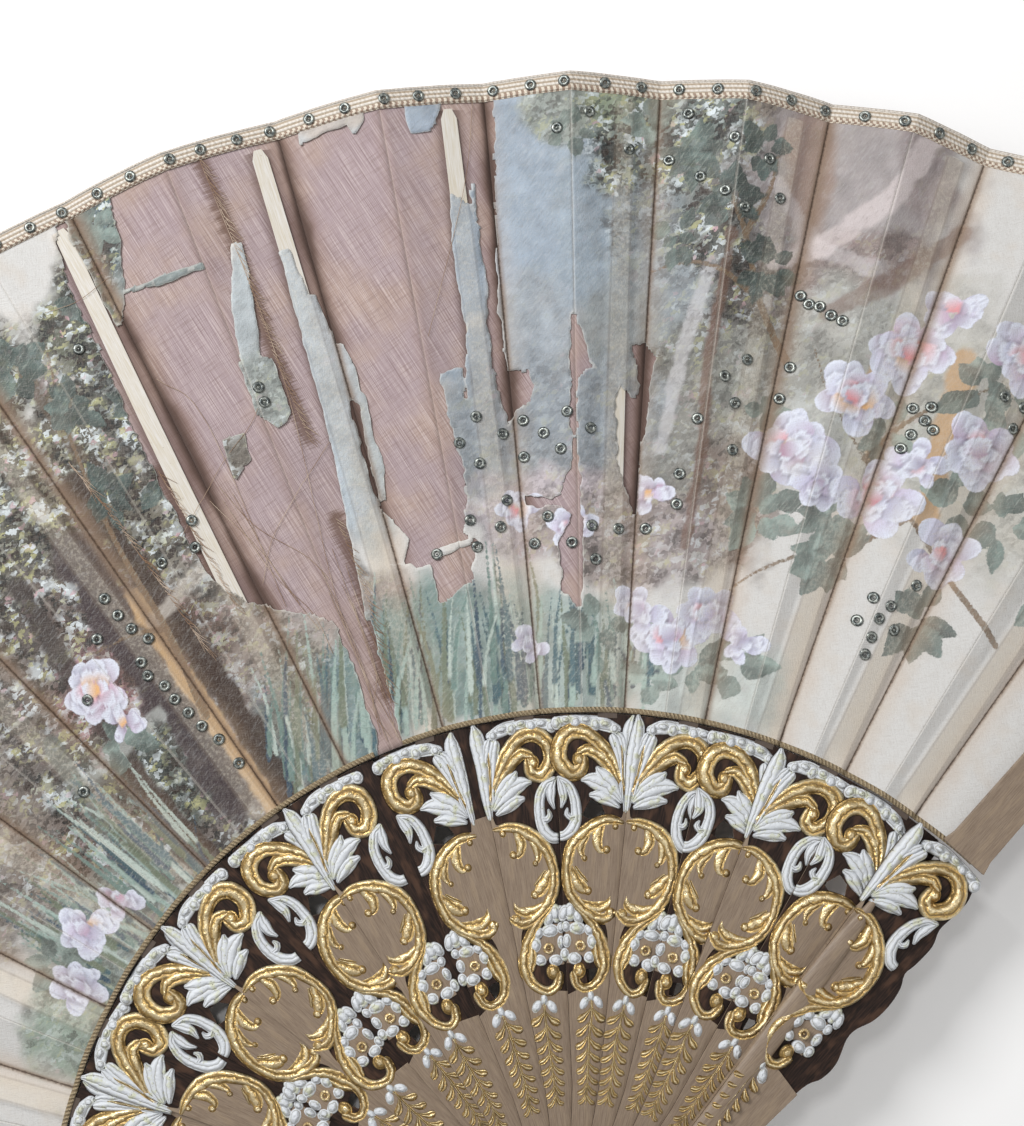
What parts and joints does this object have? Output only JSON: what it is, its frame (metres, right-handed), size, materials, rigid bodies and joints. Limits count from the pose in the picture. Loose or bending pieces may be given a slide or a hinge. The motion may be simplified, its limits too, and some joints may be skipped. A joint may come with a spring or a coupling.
{
  "type": "folding fan",
  "caption": "Open folding fan with carved, gilded and painted wooden sticks that turn on a common rivet and a pleated silk leaf.",
  "frame": {"origin": "on the rivet's axis, in the plane of the rear guard's outer face", "axes": "+Z along the rivet towards the painted side; +Y up the middle of the pictured part of the open fan; +X to the right, where the front guard is"},
  "size_m": [0.5958, 0.3726, 0.0284],
  "materials": {
    "carved_wood": "satin brown wood, plain where it is not carved",
    "leaf_silk": "painted silk over a dusty pink silk backing",
    "brass": "worn brass and gilding",
    "white_paint": "chalky white paint on carved wood",
    "rib_wood": "pale cream wood ribs"
  },
  "bodies": {
    "rear_guard": {"rear_guard": "carved_wood", "leaf_panel_00": "leaf_silk", "leaf_fold_00": "leaf_silk", "rivet": "brass", "rivet_washer": "brass"},
    "stick_01": {"stick_01": "carved_wood", "leaf_panel_01": "leaf_silk", "leaf_fold_01": "leaf_silk"},
    "stick_02": {"stick_02": "carved_wood", "leaf_panel_02": "leaf_silk", "leaf_fold_02": "leaf_silk"},
    "stick_03": {"stick_03": "carved_wood", "leaf_panel_03": "leaf_silk", "leaf_fold_03": "leaf_silk"},
    "stick_04": {"stick_04": "carved_wood", "leaf_panel_04": "leaf_silk", "leaf_fold_04": "leaf_silk"},
    "stick_05": {"stick_05": "carved_wood", "leaf_panel_05": "leaf_silk", "leaf_fold_05": "leaf_silk"},
    "stick_06": {"stick_06": "carved_wood", "leaf_panel_06": "leaf_silk", "leaf_fold_06": "leaf_silk"},
    "stick_07": {"stick_07": "carved_wood", "leaf_panel_07": "leaf_silk", "leaf_fold_07": "leaf_silk"},
    "stick_08": {"stick_08": "carved_wood", "leaf_panel_08": "leaf_silk", "leaf_fold_08": "leaf_silk"},
    "stick_09": {"stick_09": "carved_wood", "leaf_panel_09": "leaf_silk", "leaf_fold_09": "leaf_silk"},
    "stick_10": {"stick_10": "carved_wood", "leaf_panel_10": "leaf_silk", "leaf_fold_10": "leaf_silk"},
    "stick_11": {"stick_11": "carved_wood", "leaf_panel_11": "leaf_silk", "leaf_fold_11": "leaf_silk"},
    "stick_12": {"stick_12": "carved_wood", "leaf_panel_12": "leaf_silk", "leaf_fold_12": "leaf_silk"},
    "stick_13": {"stick_13": "carved_wood", "leaf_panel_13": "leaf_silk", "leaf_fold_13": "leaf_silk"},
    "stick_14": {"stick_14": "carved_wood", "leaf_panel_14": "leaf_silk", "leaf_fold_14": "leaf_silk"},
    "front_guard": {"front_guard": "carved_wood", "leaf_panel_15": "leaf_silk"}
  },
  "joints": [
    {"name": "stick_01_pivot", "type": "hinge", "parent": "rear_guard", "child": "stick_01", "pos_m": [0, 0, 0], "axis": [0, 0, 1], "range_deg": [0, 9], "deforming": ["leaf_fold_00"]},
    {"name": "stick_02_pivot", "type": "hinge", "parent": "stick_01", "child": "stick_02", "pos_m": [0, 0, 0], "axis": [0, 0, 1], "range_deg": [0, 9.5], "deforming": ["leaf_fold_01"]},
    {"name": "stick_03_pivot", "type": "hinge", "parent": "stick_02", "child": "stick_03", "pos_m": [0, 0, 0], "axis": [0, 0, 1], "range_deg": [0, 9], "deforming": ["leaf_fold_02"]},
    {"name": "stick_04_pivot", "type": "hinge", "parent": "stick_03", "child": "stick_04", "pos_m": [0, 0, 0], "axis": [0, 0, 1], "range_deg": [0, 9.7], "deforming": ["leaf_fold_03"]},
    {"name": "stick_05_pivot", "type": "hinge", "parent": "stick_04", "child": "stick_05", "pos_m": [0, 0, 0], "axis": [0, 0, 1], "range_deg": [0, 8.3], "deforming": ["leaf_fold_04"]},
    {"name": "stick_06_pivot", "type": "hinge", "parent": "stick_05", "child": "stick_06", "pos_m": [0, 0, 0], "axis": [0, 0, 1], "range_deg": [0, 10.7], "deforming": ["leaf_fold_05"]},
    {"name": "stick_07_pivot", "type": "hinge", "parent": "stick_06", "child": "stick_07", "pos_m": [0, 0, 0], "axis": [0, 0, 1], "range_deg": [0, 7.6], "deforming": ["leaf_fold_06"]},
    {"name": "stick_08_pivot", "type": "hinge", "parent": "stick_07", "child": "stick_08", "pos_m": [0, 0, 0], "axis": [0, 0, 1], "range_deg": [0, 11.2], "deforming": ["leaf_fold_07"]},
    {"name": "stick_09_pivot", "type": "hinge", "parent": "stick_08", "child": "stick_09", "pos_m": [0, 0, 0], "axis": [0, 0, 1], "range_deg": [0, 11], "deforming": ["leaf_fold_08"]},
    {"name": "stick_10_pivot", "type": "hinge", "parent": "stick_09", "child": "stick_10", "pos_m": [0, 0, 0], "axis": [0, 0, 1], "range_deg": [0, 9], "deforming": ["leaf_fold_09"]},
    {"name": "stick_11_pivot", "type": "hinge", "parent": "stick_10", "child": "stick_11", "pos_m": [0, 0, 0], "axis": [0, 0, 1], "range_deg": [0, 8.7], "deforming": ["leaf_fold_10"]},
    {"name": "stick_12_pivot", "type": "hinge", "parent": "stick_11", "child": "stick_12", "pos_m": [0, 0, 0], "axis": [0, 0, 1], "range_deg": [0, 8.3], "deforming": ["leaf_fold_11"]},
    {"name": "stick_13_pivot", "type": "hinge", "parent": "stick_12", "child": "stick_13", "pos_m": [0, 0, 0], "axis": [0, 0, 1], "range_deg": [0, 7.3], "deforming": ["leaf_fold_12"]},
    {"name": "stick_14_pivot", "type": "hinge", "parent": "stick_13", "child": "stick_14", "pos_m": [0, 0, 0], "axis": [0, 0, 1], "range_deg": [0, 8.6], "deforming": ["leaf_fold_13"]},
    {"name": "front_guard_pivot", "type": "hinge", "parent": "stick_14", "child": "front_guard", "pos_m": [0, 0, 0], "axis": [0, 0, 1], "range_deg": [0, 7.6], "deforming": ["leaf_fold_14"]}
  ],
  "couplings": [
    {"joint": "stick_02_pivot", "follows": "stick_01_pivot", "ratio": 1.0555},
    {"joint": "stick_03_pivot", "follows": "stick_01_pivot", "ratio": 1},
    {"joint": "stick_04_pivot", "follows": "stick_01_pivot", "ratio": 1.0777},
    {"joint": "stick_05_pivot", "follows": "stick_01_pivot", "ratio": 0.9222},
    {"joint": "stick_06_pivot", "follows": "stick_01_pivot", "ratio": 1.1888},
    {"joint": "stick_07_pivot", "follows": "stick_01_pivot", "ratio": 0.8444},
    {"joint": "stick_08_pivot", "follows": "stick_01_pivot", "ratio": 1.2444},
    {"joint": "stick_09_pivot", "follows": "stick_01_pivot", "ratio": 1.2222},
    {"joint": "stick_10_pivot", "follows": "stick_01_pivot", "ratio": 1},
    {"joint": "stick_11_pivot", "follows": "stick_01_pivot", "ratio": 0.9666},
    {"joint": "stick_12_pivot", "follows": "stick_01_pivot", "ratio": 0.9222},
    {"joint": "stick_13_pivot", "follows": "stick_01_pivot", "ratio": 0.8111},
    {"joint": "stick_14_pivot", "follows": "stick_01_pivot", "ratio": 0.9555},
    {"joint": "front_guard_pivot", "follows": "stick_01_pivot", "ratio": 0.8444}
  ]
}
